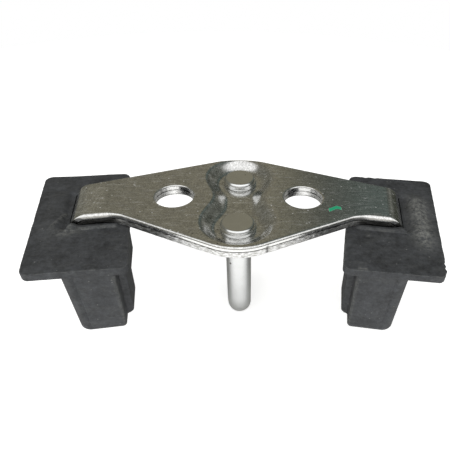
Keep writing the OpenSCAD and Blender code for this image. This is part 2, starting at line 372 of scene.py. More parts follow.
def buffer_patches(side):
    """One closed skin: from the middle of the slot's floor up its walls, over the round that the bend lies on, out to
    the flange's edge, round it, back below to the block, down the block's drafted walls with its rib and pocket,
    round the foot and in to the middle of the foot."""
    half_w, half_l, rake = 11.6, 20.6, math.tan(math.radians(2.3))
    signs = [(-1, -1), (1, -1), (1, 1), (-1, 1)]
    corners = [(a * half_w + b * rake * half_l, b * half_l + a * rake * half_w) for a, b in signs]
    steps, sides = 11, [54, 140, 54, 140]
    flange = rounded(corners, [2.0] * 4, steps, sides, True)
    low, high, ahead, behind = -9.0, 3.2, -20.4, 13.2
    block = rounded([(low, ahead), (high, ahead), (high, behind), (low, behind)], [0.9, 3.0, 1.4, 0.9],
                    steps, sides, True)
    flange_n, block_n = outward_normals(flange, True), outward_normals(block, True)
    turns = np.linspace(0, 1, len(flange), endpoint=False)
    flange = flange - flange_n * np.abs(wander(turns, 0.05, 5 + side, (7, 11, 19, 31, 47)))[:, None]
    ragged = (flange[:, 0] > 10) * window(flange[:, 1], -20, -14, 1.5) + (flange[:, 1] > 19) * window(flange[:, 0], -10.5, -3, 1.5)
    flange -= flange_n * ((side > 0) * ragged * np.abs(wander(turns, 0.22, 9, (29, 43, 61, 83))))[:, None]
    rows, heights = [], []
    soft, thick, upper = 0.28, 2.0, -SHEET
    # The slot takes the tab with 0.15 mm to spare, and its inner edge is round below the sheet's bend
    gap, floor, bend_z, bend_in = 0.15, -TAB_DEPTH - 0.15, -BEND_R, BEND_R - SHEET
    slot_in, slot_out = BEND_U + bend_in - gap, BEND_U + BEND_R + gap
    slot_front, slot_rear = TONGUE_FRONT - gap, TONGUE_REAR + gap
    slot = rounded([(slot_in, slot_front), (slot_out, slot_front), (slot_out, slot_rear), (slot_in, slot_rear)],
                   [0.2] * 4, steps, sides, True)
    mouth = slot - np.outer((bend_in - gap) * np.clip(-outward_normals(slot, True)[:, 0], 0, 1), [1, 0])
    for t in np.linspace(0, 1, 6):
        rows.append(slot.mean(0) + t * (slot - slot.mean(0)))
        heights.append(np.full(len(slot), floor))
    for z in np.linspace(floor, bend_z, 8)[1:]:
        rows.append(slot)
        heights.append(np.full(len(slot), z))
    mouth_z = flange_top(mouth[:, 0], mouth[:, 1], side)
    for a in np.linspace(math.pi / 2, 0, 9)[1:]:
        rows.append(slot + (1 - math.sin(a)) * (mouth - slot))
        heights.append(bend_z + (mouth_z - bend_z) * math.cos(a))
    for t in np.concatenate([np.linspace(0, 0.12, 22)[1:], np.linspace(0.12, 1, 62)[1:-1], [0.994, 1.0]]):
        spot = mouth + t * (flange - soft * flange_n - mouth)
        rows.append(spot)
        heights.append(flange_top(spot[:, 0], spot[:, 1], side))
    rim, rim_row = heights[-1], len(rows)
    for a in np.linspace(0, math.pi / 2, 7)[1:]:
        rows.append(flange - soft * (1 - math.sin(a)) * flange_n)
        heights.append(rim - soft * (1 - math.cos(a)))
    # Along the front the points slide along the flange's edge on their way down, until they stand over the block's
    front = np.arange(steps - 1, steps + sides[0] + 1)
    lower, lower_r = flange.copy(), 0.22
    lower[front, 0] = block[front, 0]
    lower[front, 1] = np.interp(block[front, 0], flange[front, 0], flange[front, 1])

    foot, foot_r, rib_foot = -25.0, 1.6, -23.8
    draft_u, draft_v = 0.4, 1.3

    def wall(z):
        down = np.clip((-4.0 - z) / (-4.0 - foot), 0, 1)
        u, v = block[:, 0].copy(), block[:, 1].copy()
        left = np.clip(z - rib_foot, 0, foot_r)
        out = 1.7 - foot_r + math.sqrt(foot_r ** 2 - (foot_r - left) ** 2) if z > rib_foot else 0.0
        rib = out * window(v, -16.0, -7.3, 0.5) * (block_n[:, 0] < -0.99)
        pocket = 1.55 * window(v, -6.15, 12.7, 0.6) * (block_n[:, 0] > 0.99) * ease((z + 15.4) / 0.9)
        middle_u, middle_v = (low + high) / 2, (ahead + behind) / 2
        u += pocket - rib - draft_u * down * np.clip((u - middle_u) / (high - middle_u), -1, 1)
        v -= draft_v * down * np.clip((v - middle_v) / (behind - middle_v), -1, 1)
        crease = 0.32 * np.exp(-((block[:, 0] - 0.1) / 0.24) ** 2) * (block_n[:, 1] < -0.9)
        v += crease * ease((z - foot - foot_r) / 2.5)
        return np.stack([u, v], -1)

    under = upper - thick
    start = wall(under)
    ring = lower - lower_r * flange_n
    ring[front, 1] = np.minimum(ring[front, 1], start[front, 1] - 0.12)
    for a in np.linspace(0, math.pi / 2, 6):
        rows.append(lower + (1 - math.cos(a)) * (ring - lower))
        heights.append(np.full(len(flange), under + lower_r * (1 - math.sin(a))))
    gap = np.einsum("ij,ij->i", ring - start, block_n)
    edge_v = np.interp(start[:, 0], ring[front, 0], ring[front, 1])
    gap = np.where(block_n[:, 1] < -0.05, np.minimum(gap, start[:, 1] - edge_v), gap)
    fillet = np.clip(0.6 * gap, 0.05, 0.8)
    inner = start + fillet[:, None] * block_n
    for t in np.linspace(0, 1, 9)[1:]:
        rows.append((1 - t) * ring + t * inner)
        heights.append(np.full(len(flange), under))
    for a in np.linspace(0, math.pi / 2, 6)[1:]:
        rows.append(start + (fillet * (1 - math.sin(a)))[:, None] * block_n)
        heights.append(under - fillet * (1 - math.cos(a)))
    for z in np.concatenate([np.linspace(-6.0, -14.0, 11), np.linspace(-14.3, -15.6, 7), np.linspace(-16.2, -22.0, 7), np.linspace(-22.2, foot + foot_r, 6)]):
        rows.append(wall(z))
        heights.append(np.full(len(flange), z))
    # The flat sole lies inside the foot's round, with sharper corners than the walls have
    in_u, in_v = draft_u + foot_r, draft_v + foot_r
    sole = rounded([(low + in_u, ahead + in_v), (high - in_u, ahead + in_v), (high - in_u, behind - in_v),
                    (low + in_u, behind - in_v)], [0.4, 1.4, 0.4, 0.4], steps, sides, True)
    for a in np.linspace(0, math.pi / 2, 15)[1:]:
        z = foot + foot_r * (1 - math.sin(a))
        rows.append(wall(z) + (1 - math.cos(a)) * (sole - wall(foot)))
        heights.append(np.full(len(flange), z))
    edge = rows[-1]
    middle = edge.mean(0)
    for t in np.linspace(1, 0, 15)[1:]:
        rows.append(middle + t * (edge - middle))
        heights.append(np.full(len(flange), foot))
    rows, heights = np.stack(rows), np.stack(heights)
    u, v = rows[..., 0], rows[..., 1]
    # Settled dust on the flange's top, which also carries painted highlights along the lip and the fold
    dust_and_highlight = dust_and_highlights_on(u, v, side) * (heights > -4.2)
    # A painted highlight down the block's rounded front-inner edge, in the same pale colour as the dust
    bevel_highlight = np.clip(-block_n[:, 0], 0, 1) * np.clip(-block_n[:, 1], 0, 1)
    outside = np.arange(len(rows))[:, None] > rim_row
    dust_and_highlight = dust_and_highlight + 1.3 * bevel_highlight * outside * (heights < -5.5) * (heights > foot + 0.4)
    # A painted highlight along the flange's rounded rim, over its front half
    turned = np.zeros(len(rows))
    turned[rim_row:rim_row + 4] = 0.2, 0.45, 0.45, 0.2
    dust_and_highlight = dust_and_highlight + turned[:, None] * window(v, -22.0, 2.0, 6.0)
    placed = SEAT + u[..., None] * OUTWARD + v[..., None] * REARWARD
    grid = np.stack([placed[..., 0] * side, placed[..., 1], heights], -1)
    return [(grid, True, {"dust_and_highlight": dust_and_highlight})]


def dust_and_highlights_on(u, v, side):
    """Where dust and rubbing show on the flange, with painted highlights among them: dust on the hump outside the
    tongue and in front of the tongue's corner, a painted highlight along the lip's front edge and, on the left, along
    the fold, and on the right dust in one spot and rubbing on a bit of the front edge."""
    ahead = TONGUE_FRONT - v
    hump = np.exp(-((u - 7.3) / 2.3) ** 2) * window(v, -10, 11, 9)
    corner = np.exp(-((u - 3.0) / 2.8) ** 2 - ((v + 6.0) / 1.4) ** 2)
    # A painted highlight along the lip's front edge, the side that faces the lamp
    lip = np.exp(-((ahead - 1.45) / 0.25) ** 2) * window(u, -8.6, 0.3, 1.5)
    spot = np.exp(-((u + 6.4) ** 2 + (v + 7.6) ** 2) / 0.35)
    rubbed = np.exp(-((v + 20.0) / 0.4) ** 2) * window(u, -9.0, -7.0, 0.5)
    if side > 0:
        return 1.6 * hump + 0.15 * corner + 0.6 * lip + 1.2 * spot + 1.1 * rubbed
    # On the left the fold also gets a painted highlight along its crest
    return 0.12 * hump + 1.1 * corner + 0.7 * lip + 0.7 * fold_beside(u, v)


# Materials

def zinc_plated_pressed_steel():
    """Pressed steel sheet with bright zinc plating: a soft mirror, clouded by handling, with fine rolling lines,
    stray scratches and specks, a paler torn edge with painted shade on it along the tongues and past the bends, and a
    dab of inspection paint."""
    material, tree = new_tree("zinc_plated_pressed_steel")
    place = add(tree, "ShaderNodeTexCoord").outputs["Object"]
    mm = add(tree, "ShaderNodeMapping", {"Vector": place, "Scale": (1000, 1000, 1000)}).outputs[0]
    cloud = add(tree, "ShaderNodeTexNoise", {"Vector": mm, "Scale": 0.16, "Detail": 4.0, "Roughness": 0.6}).outputs[0]
    # Rolling lines about 0.3 mm apart, along the sheet
    lines_at = add(tree, "ShaderNodeMapping", {"Vector": mm, "Scale": (0.12, 2.6, 1.0)}).outputs[0]
    lines = add(tree, "ShaderNodeTexNoise", {"Vector": lines_at, "Scale": 1.0, "Detail": 5.0, "Roughness": 0.65}).outputs[0]
    strokes = add(tree, "ShaderNodeMapRange", {"Value": lines, "From Min": 0.3, "From Max": 0.66}).outputs[0]
    # Scratches a few millimetres long
    slant = add(tree, "ShaderNodeMapping", {"Vector": mm, "Rotation": (0, 0, 0.6), "Scale": (0.22, 3.2, 1.0)}).outputs[0]
    hairs = add(tree, "ShaderNodeTexNoise", {"Vector": slant, "Scale": 1.0, "Detail": 2.0}).outputs[0]
    scratch = add(tree, "ShaderNodeMapRange", {"Value": hairs, "From Min": 0.66, "From Max": 0.72}).outputs[0]
    # Specks about 0.3 mm wide, roughly one on every 4 mm
    cells = add(tree, "ShaderNodeTexVoronoi", {"Vector": mm, "Scale": 0.45})
    speck = add(tree, "ShaderNodeMapRange", {"Value": cells.outputs["Distance"], "From Min": 0.085, "From Max": 0.05}).outputs[0]
    cut = add(tree, "ShaderNodeAttribute", attribute_name="cut").outputs["Fac"]
    torn = add(tree, "ShaderNodeMapRange", {"Value": cut, "From Min": 0.55, "From Max": 0.95}).outputs[0]
    run = add(tree, "ShaderNodeAttribute", attribute_name="run").outputs["Fac"]
    down = add(tree, "ShaderNodeAttribute", attribute_name="down").outputs["Fac"]
    # Torn streaks about 1.2 mm long and 0.4 mm high, running along the edge
    streak_at = add(tree, "ShaderNodeCombineXYZ", {"X": run, "Y": down}).outputs[0]
    streak_mm = add(tree, "ShaderNodeMapping", {"Vector": streak_at, "Scale": (800, 2600, 1)}).outputs[0]
    streaks = add(tree, "ShaderNodeTexNoise", {"Vector": streak_mm, "Scale": 1.0, "Detail": 4.0, "Roughness": 0.7}).outputs[0]
    body = add(tree, "ShaderNodeMix", {"Factor": cloud, 6: linear("#c2c2bf"), 7: linear("#f0f0ee")}, data_type="RGBA").outputs[2]
    lined = add(tree, "ShaderNodeMix", {"Factor": strokes, 6: linear("#8c8b88"), 7: linear("#ffffff")}, data_type="RGBA").outputs[2]
    worn = add(tree, "ShaderNodeMix", {"Factor": 0.28, 6: body, 7: lined}, data_type="RGBA", blend_type="MULTIPLY").outputs[2]
    # Grit in the plating about 0.4 mm wide
    grit = add(tree, "ShaderNodeTexNoise", {"Vector": mm, "Scale": 2.6, "Detail": 2.0, "Roughness": 0.6}).outputs[0]
    glint = add(tree, "ShaderNodeMapRange", {"Value": grit, "From Min": 0.36, "From Max": 0.7, "To Max": 0.5}).outputs[0]
    pepper = add(tree, "ShaderNodeMapRange", {"Value": grit, "From Min": 0.3, "From Max": 0.7, "To Min": 0.82, "To Max": 1.12}).outputs[0]
    pale = add(tree, "ShaderNodeMath", {0: scratch, 1: 0.5, 2: glint}, operation="MULTIPLY_ADD", use_clamp=True).outputs[0]
    # A place on the left tongue rubbed by hand, with hairlines about 0.4 mm apart across the tongue
    rub_at = add(tree, "ShaderNodeMapping", {"Vector": mm, "Rotation": (0, 0, -TOE), "Scale": (2.4, 0.2, 1.0)}).outputs[0]
    rub_lines = add(tree, "ShaderNodeTexNoise", {"Vector": rub_at, "Scale": 1.0, "Detail": 4.0, "Roughness": 0.7}).outputs[0]
    rub_fine = add(tree, "ShaderNodeMapRange", {"Value": rub_lines, "From Min": 0.4, "From Max": 0.65}).outputs[0]
    rub_place = add(tree, "ShaderNodeAttribute", attribute_name="rub").outputs["Fac"]
    rub = add(tree, "ShaderNodeMath", {0: rub_fine, 1: rub_place}, operation="MULTIPLY").outputs[0]
    pale = add(tree, "ShaderNodeMath", {0: rub, 1: 0.9, 2: pale}, operation="MULTIPLY_ADD", use_clamp=True).outputs[0]
    gritty = add(tree, "ShaderNodeMix", {"Factor": pale, 6: worn, 7: linear("#ffffff")}, data_type="RGBA").outputs[2]
    # Dull and bright clouds about 1.5 mm wide
    patchy = add(tree, "ShaderNodeTexNoise", {"Vector": mm, "Scale": 0.7, "Detail": 6.0, "Roughness": 0.75, "Distortion": 0.6}).outputs[0]
    dull = add(tree, "ShaderNodeMapRange", {"Value": patchy, "From Min": 0.32, "From Max": 0.68, "To Min": 0.78, "To Max": 1.2}).outputs[0]
    clouded = add(tree, "ShaderNodeMath", {0: pepper, 1: dull}, operation="MULTIPLY").outputs[0]
    uneven = add(tree, "ShaderNodeMix", {"Factor": 1.0, 6: gritty, 7: clouded}, data_type="RGBA", blend_type="MULTIPLY", clamp_result=True).outputs[2]
    dirty = add(tree, "ShaderNodeMix", {"Factor": speck, 6: uneven, 7: linear("#57534a")}, data_type="RGBA").outputs[2]
    burnished = add(tree, "ShaderNodeMapRange", {"Value": cut, "From Min": 0.1, "From Max": 0.4}).outputs[0]
    bright = add(tree, "ShaderNodeMix", {"Factor": burnished, 6: dirty, 7: linear("#f6f6f4")}, data_type="RGBA").outputs[2]
    torn_tone = add(tree, "ShaderNodeMix", {"Factor": add(tree, "ShaderNodeMapRange", {"Value": streaks, "From Min": 0.36, "From Max": 0.58}).outputs[0], 6: linear("#a2a19b"), 7: linear("#ffffff")}, data_type="RGBA").outputs[2]
    edged = add(tree, "ShaderNodeMix", {"Factor": torn, 6: bright, 7: torn_tone}, data_type="RGBA").outputs[2]
    # The dark seam between the burnished band and the torn part, 1.3 mm below the face and 0.2 mm high, broken along its run
    from_seam = add(tree, "ShaderNodeMath", {0: add(tree, "ShaderNodeMath", {0: down, 1: 0.00132}, operation="SUBTRACT").outputs[0]}, operation="ABSOLUTE").outputs[0]
    on_seam = add(tree, "ShaderNodeMapRange", {"Value": from_seam, "From Min": 0.00026, "From Max": 0.0001}).outputs[0]
    broken = add(tree, "ShaderNodeMapRange", {"Value": streaks, "From Min": 0.36, "From Max": 0.5, "To Min": 0.35, "To Max": 1.0}).outputs[0]
    on_edge = add(tree, "ShaderNodeMapRange", {"Value": cut, "From Min": 0.36, "From Max": 0.5}).outputs[0]
    edge_seam = add(tree, "ShaderNodeMath", {0: on_seam, 1: on_edge}, operation="MULTIPLY").outputs[0]
    lined_seam = add(tree, "ShaderNodeMath", {0: edge_seam, 1: broken}, operation="MULTIPLY").outputs[0]
    # The mark attribute holds the nick's dark edge and the painted shade on the tongue's cut edge, both drawn in the
    # seam's dark colour
    mark = add(tree, "ShaderNodeAttribute", attribute_name="mark").outputs["Fac"]
    seam = add(tree, "ShaderNodeMath", {0: mark, 1: lined_seam}, operation="MAXIMUM").outputs[0]
    seamed = add(tree, "ShaderNodeMix", {"Factor": seam, 6: edged, 7: linear("#2f2e2b")}, data_type="RGBA").outputs[2]
    # The paint dab: a short wavy stroke, 3.4 mm long and 0.6 mm wide
    at = add(tree, "ShaderNodeSeparateXYZ", {"Vector": add(tree, "ShaderNodeMapping", {"Vector": mm, "Location": (-24.3, 5.3, 0)}).outputs[0]})
    wave = add(tree, "ShaderNodeMath", {0: add(tree, "ShaderNodeMath", {0: at.outputs[0], 1: 1.1, 2: 0.9}, operation="MULTIPLY_ADD").outputs[0]}, operation="SINE").outputs[0]
    off = add(tree, "ShaderNodeMath", {0: wave, 1: -0.62, 2: at.outputs[1]}, operation="MULTIPLY_ADD").outputs[0]
    across = add(tree, "ShaderNodeMath", {0: off}, operation="ABSOLUTE").outputs[0]
    blot = add(tree, "ShaderNodeTexNoise", {"Vector": mm, "Scale": 1.9, "Detail": 4.0}).outputs[0]
    ragged = add(tree, "ShaderNodeMath", {0: blot, 1: -1.1, 2: across}, operation="MULTIPLY_ADD").outputs[0]
    stroke = add(tree, "ShaderNodeMapRange", {"Value": ragged, "From Min": 0.2, "From Max": 0.06}).outputs[0]
    reach = add(tree, "ShaderNodeMath", {0: at.outputs[0]}, operation="ABSOLUTE").outputs[0]
    ends = add(tree, "ShaderNodeMapRange", {"Value": reach, "From Min": 1.75, "From Max": 1.5}).outputs[0]
    paint = add(tree, "ShaderNodeMath", {0: stroke, 1: ends}, operation="MULTIPLY").outputs[0]
    colour = add(tree, "ShaderNodeMix", {"Factor": paint, 6: seamed, 7: linear("#17a676")}, data_type="RGBA").outputs[2]
    # Dried smears about 0.6 mm wide and some millimetres long, and pale specks about 0.5 mm wide, dull the mirror
    smear_at = add(tree, "ShaderNodeMapping", {"Vector": mm, "Rotation": (0, 0, TOE), "Scale": (0.16, 1.6, 1.0)}).outputs[0]
    smears = add(tree, "ShaderNodeTexNoise", {"Vector": smear_at, "Scale": 1.0, "Detail": 6.0, "Roughness": 0.75}).outputs[0]
    smear = add(tree, "ShaderNodeMapRange", {"Value": smears, "From Min": 0.53, "From Max": 0.7, "To Max": 0.24}).outputs[0]
    spots = add(tree, "ShaderNodeTexVoronoi", {"Vector": mm, "Scale": 0.52}).outputs["Distance"]
    spot = add(tree, "ShaderNodeMapRange", {"Value": spots, "From Min": 0.14, "From Max": 0.07, "To Max": 0.42}).outputs[0]
    dried = add(tree, "ShaderNodeMath", {0: smear, 1: spot}, operation="MAXIMUM").outputs[0]
    covered = add(tree, "ShaderNodeMath", {0: dried, 1: paint}, operation="MAXIMUM").outputs[0]
    metal = add(tree, "ShaderNodeMath", {0: 1.0, 1: covered}, operation="SUBTRACT").outputs[0]
    haze = add(tree, "ShaderNodeMapRange", {"Value": cloud, "To Min": 0.17, "To Max": 0.27}).outputs[0]
    rough_1 = add(tree, "ShaderNodeMath", {0: scratch, 1: 0.16, 2: haze}, operation="MULTIPLY_ADD").outputs[0]
    rough_2 = add(tree, "ShaderNodeMath", {0: torn, 1: 0.08, 2: rough_1}, operation="MULTIPLY_ADD").outputs[0]
    rough = add(tree, "ShaderNodeMath", {0: paint, 1: 0.2, 2: rough_2}, operation="MULTIPLY_ADD").outputs[0]
    relief = add(tree, "ShaderNodeMath", {0: scratch, 1: -0.8, 2: lines}, operation="MULTIPLY_ADD").outputs[0]
    fine = add(tree, "ShaderNodeBump", {"Height": relief, "Strength": 0.12, "Distance": 0.00006}).outputs[0]
    depth = add(tree, "ShaderNodeMath", {0: streaks, 1: torn}, operation="MULTIPLY").outputs[0]
    bump = add(tree, "ShaderNodeBump", {"Height": depth, "Strength": 0.5, "Distance": 0.00025, "Normal": fine}).outputs[0]
    shader = add(tree, "ShaderNodeBsdfPrincipled", {"Base Color": colour, "Metallic": metal, "Roughness": rough, "Normal": bump})
    add(tree, "ShaderNodeOutputMaterial", {"Surface": shader.outputs[0]})
    return material


def zinc_plated_drawn_rod():
    """Drawn steel rod with bright zinc plating: brighter and smoother than the sheet, with faint lines along it."""
    material, tree = new_tree("zinc_plated_drawn_rod")
    place = add(tree, "ShaderNodeTexCoord").outputs["Object"]
    mm = add(tree, "ShaderNodeMapping", {"Vector": place, "Scale": (1000, 1000, 1000)}).outputs[0]
    cloud = add(tree, "ShaderNodeTexNoise", {"Vector": mm, "Scale": 0.3, "Detail": 4.0, "Roughness": 0.6}).outputs[0]
    # Drawing lines about 0.25 mm apart, along the legs
    lines_at = add(tree, "ShaderNodeMapping", {"Vector": mm, "Scale": (3.2, 3.2, 0.12)}).outputs[0]
    lines = add(tree, "ShaderNodeTexNoise", {"Vector": lines_at, "Scale": 1.0, "Detail": 4.0}).outputs[0]
    speck_at = add(tree, "ShaderNodeMapping", {"Vector": mm, "Location": (-0.7, 0.9, 2.2)}).outputs[0]
    cells = add(tree, "ShaderNodeTexVoronoi", {"Vector": speck_at, "Scale": 0.3})
    speck = add(tree, "ShaderNodeMapRange", {"Value": cells.outputs["Distance"], "From Min": 0.1, "From Max": 0.06}).outputs[0]
    body = add(tree, "ShaderNodeMix", {"Factor": cloud, 6: linear("#dcdddc"), 7: linear("#f2f3f3")}, data_type="RGBA").outputs[2]
    colour = add(tree, "ShaderNodeMix", {"Factor": speck, 6: body, 7: linear("#4c4a45")}, data_type="RGBA").outputs[2]
    rough = add(tree, "ShaderNodeMapRange", {"Value": cloud, "To Min": 0.14, "To Max": 0.24}).outputs[0]
    bump = add(tree, "ShaderNodeBump", {"Height": lines, "Strength": 0.1, "Distance": 0.00006}).outputs[0]
    shader = add(tree, "ShaderNodeBsdfPrincipled", {"Base Color": colour, "Metallic": 1.0, "Roughness": rough, "Normal": bump})
    add(tree, "ShaderNodeOutputMaterial", {"Surface": shader.outputs[0]})
    return material


def moulded_rubber():
    """Carbon-black rubber from a steel mould: matte, with a fine dull grain, a faint bloom and settled dust, and with
    painted highlights in the dust's pale colour on the flange's lip, fold and rim and on the block's front-inner edge.
    """
    material, tree = new_tree("moulded_rubber")
    place = add(tree, "ShaderNodeTexCoord").outputs["Object"]
    mm = add(tree, "ShaderNodeMapping", {"Vector": place, "Scale": (1000, 1000, 1000)}).outputs[0]
    bloom = add(tree, "ShaderNodeTexNoise", {"Vector": mm, "Scale": 0.2, "Detail": 6.0, "Roughness": 0.7}).outputs[0]
    # Mould grain about 0.35 mm wide, drawn a little coarse so that it shows
    grain = add(tree, "ShaderNodeTexNoise", {"Vector": mm, "Scale": 2.8, "Detail": 4.0, "Roughness": 0.65}).outputs[0]
    # Scuffs about 1 mm wide and some millimetres long, across the flange
    scuff_at = add(tree, "ShaderNodeMapping", {"Vector": mm, "Rotation": (0, 0, 0.25), "Scale": (0.25, 1.0, 0.6)}).outputs[0]
    scuffs = add(tree, "ShaderNodeTexNoise", {"Vector": scuff_at, "Scale": 1.0, "Detail": 5.0, "Roughness": 0.7}).outputs[0]
    scuffed = add(tree, "ShaderNodeMapRange", {"Value": scuffs, "From Min": 0.48, "From Max": 0.72}).outputs[0]
    # Pale flecks of many sizes, up to about 0.4 mm wide, thick in some places and rare in others
    cells = add(tree, "ShaderNodeTexVoronoi", {"Vector": mm, "Scale": 0.85})
    sizes = add(tree, "ShaderNodeSeparateColor", {"Color": cells.outputs["Color"]}).outputs[0]
    widest = add(tree, "ShaderNodeMapRange", {"Value": sizes, "From Min": 0.55, "From Max": 1.0, "To Max": 0.2}).outputs[0]
    inside = add(tree, "ShaderNodeMath", {0: widest, 1: cells.outputs["Distance"]}, operation="SUBTRACT").outputs[0]
    fleck = add(tree, "ShaderNodeMapRange", {"Value": inside, "From Min": 0.0, "From Max": 0.06}).outputs[0]
    # The dust attribute carries settled dust and also the painted edge highlights, and both are mixed towards the pale
    # colour below
    patch = add(tree, "ShaderNodeAttribute", attribute_name="dust_and_highlight").outputs["Fac"]
    clumps = add(tree, "ShaderNodeTexNoise", {"Vector": mm, "Scale": 0.9, "Detail": 7.0, "Roughness": 0.8}).outputs[0]
    broken = add(tree, "ShaderNodeMapRange", {"Value": clumps, "From Min": 0.42, "From Max": 0.6, "To Min": 0.1}).outputs[0]
    settled_dust_and_highlight = add(tree, "ShaderNodeMath", {0: patch, 1: broken}, operation="MULTIPLY").outputs[0]
    rubbed = add(tree, "ShaderNodeMath", {0: scuffed, 1: 0.2, 2: settled_dust_and_highlight}, operation="MULTIPLY_ADD").outputs[0]
    loose = add(tree, "ShaderNodeMath", {0: fleck, 1: 0.8, 2: rubbed}, operation="MULTIPLY_ADD").outputs[0]
    dust_and_highlight_share = add(tree, "ShaderNodeMath", {0: loose, 1: 0.4}, operation="MULTIPLY", use_clamp=True).outputs[0]
    # Mottling about 0.9 mm wide
    mottle = add(tree, "ShaderNodeTexNoise", {"Vector": mm, "Scale": 1.1, "Detail": 5.0, "Roughness": 0.75}).outputs[0]
    both = add(tree, "ShaderNodeMath", {0: mottle, 1: bloom}, operation="ADD").outputs[0]
    tone = add(tree, "ShaderNodeMapRange", {"Value": both, "From Min": 0.72, "From Max": 1.28}).outputs[0]
    body = add(tree, "ShaderNodeMix", {"Factor": tone, 6: linear("#252627"), 7: linear("#484a4d")}, data_type="RGBA").outputs[2]
    # Pale colour of the dust, which also serves as the colour of the painted highlights
    colour = add(tree, "ShaderNodeMix", {"Factor": dust_and_highlight_share, 6: body, 7: linear("#92938d")}, data_type="RGBA").outputs[2]
    rough = add(tree, "ShaderNodeMapRange", {"Value": grain, "To Min": 0.52, "To Max": 0.72}).outputs[0]
    bump = add(tree, "ShaderNodeBump", {"Height": grain, "Strength": 0.25, "Distance": 0.0001}).outputs[0]
    shader = add(tree, "ShaderNodeBsdfPrincipled", {"Base Color": colour, "Roughness": rough, "Specular IOR Level": 0.4, "Normal": bump})
    add(tree, "ShaderNodeOutputMaterial", {"Surface": shader.outputs[0]})
    return material


sheet_steel, rod_steel, rubber = zinc_plated_pressed_steel(), zinc_plated_drawn_rod(), moulded_rubber()
build("plate", plate_patches(), "striker_plate", sheet_steel)
build("rod_loop", loop_patches(), "striker_loop", rod_steel)
build("buffer_left", buffer_patches(-1), "left_buffer", rubber)
build("buffer_right", buffer_patches(1), "right_buffer", rubber)


# The studio

def sheet_of(name, grid, material):
    """A stage surface from a grid of points in metres."""
    rows, columns = grid.shape[:2]
    index = np.arange(rows * columns).reshape(rows, columns)
    faces = np.stack([index[:-1, :-1], index[:-1, 1:], index[1:, 1:], index[1:, :-1]], -1).reshape(-1, 4)
    mesh = bpy.data.meshes.new(name)
    mesh.from_pydata(grid.reshape(-1, 3), [], faces)
    mesh.polygons.foreach_set("use_smooth", np.ones(len(mesh.polygons), bool))
    mesh.materials.append(material)
    thing = bpy.data.objects.new(name, mesh)
    bpy.context.scene.collection.objects.link(thing)
    return thing


def white_floor():
    """Matt white paper. What the camera and mirrors see of it is lifted to white, and its shadow stays."""
    material, tree = new_tree("white_paper")
    path = add(tree, "ShaderNodeLightPath")
    mirrored = add(tree, "ShaderNodeMath", {0: path.outputs["Is Glossy Ray"], 1: path.outputs["Is Transmission Ray"]}, operation="ADD", use_clamp=True).outputs[0]
    # In mirrors the paper has a painted sheen in front, where the soft lamp stands, and a painted grey shade under the
    # part and behind it
    ahead = add(tree, "ShaderNodeSeparateXYZ", {"Vector": add(tree, "ShaderNodeTexCoord").outputs["Object"]}).outputs[1]
    sheen = add(tree, "ShaderNodeMapRange", {"Value": ahead, "From Min": -0.012, "From Max": -0.034, "To Max": 0.5}).outputs[0]
    faint = add(tree, "ShaderNodeMath", {0: mirrored, 1: sheen}, operation="MULTIPLY").outputs[0]
    lift = add(tree, "ShaderNodeMath", {0: path.outputs["Is Camera Ray"], 1: 0.6, 2: faint}, operation="MULTIPLY_ADD").outputs[0]
    behind = add(tree, "ShaderNodeMapRange", {"Value": ahead, "From Min": -0.02, "From Max": 0.0}).outputs[0]
    greyed = add(tree, "ShaderNodeMath", {0: mirrored, 1: behind}, operation="MULTIPLY").outputs[0]
    tone = add(tree, "ShaderNodeMix", {"Factor": greyed, 6: linear("#eeeeec"), 7: linear("#b4b4b0")}, data_type="RGBA").outputs[2]
    paper = add(tree, "ShaderNodeBsdfDiffuse", {"Color": tone})
    glow = add(tree, "ShaderNodeEmission", {"Color": linear("#ffffff"), "Strength": lift})
    both = add(tree, "ShaderNodeAddShader", {0: paper.outputs[0], 1: glow.outputs[0]})
    add(tree, "ShaderNodeOutputMaterial", {"Surface": both.outputs[0]})
    return material


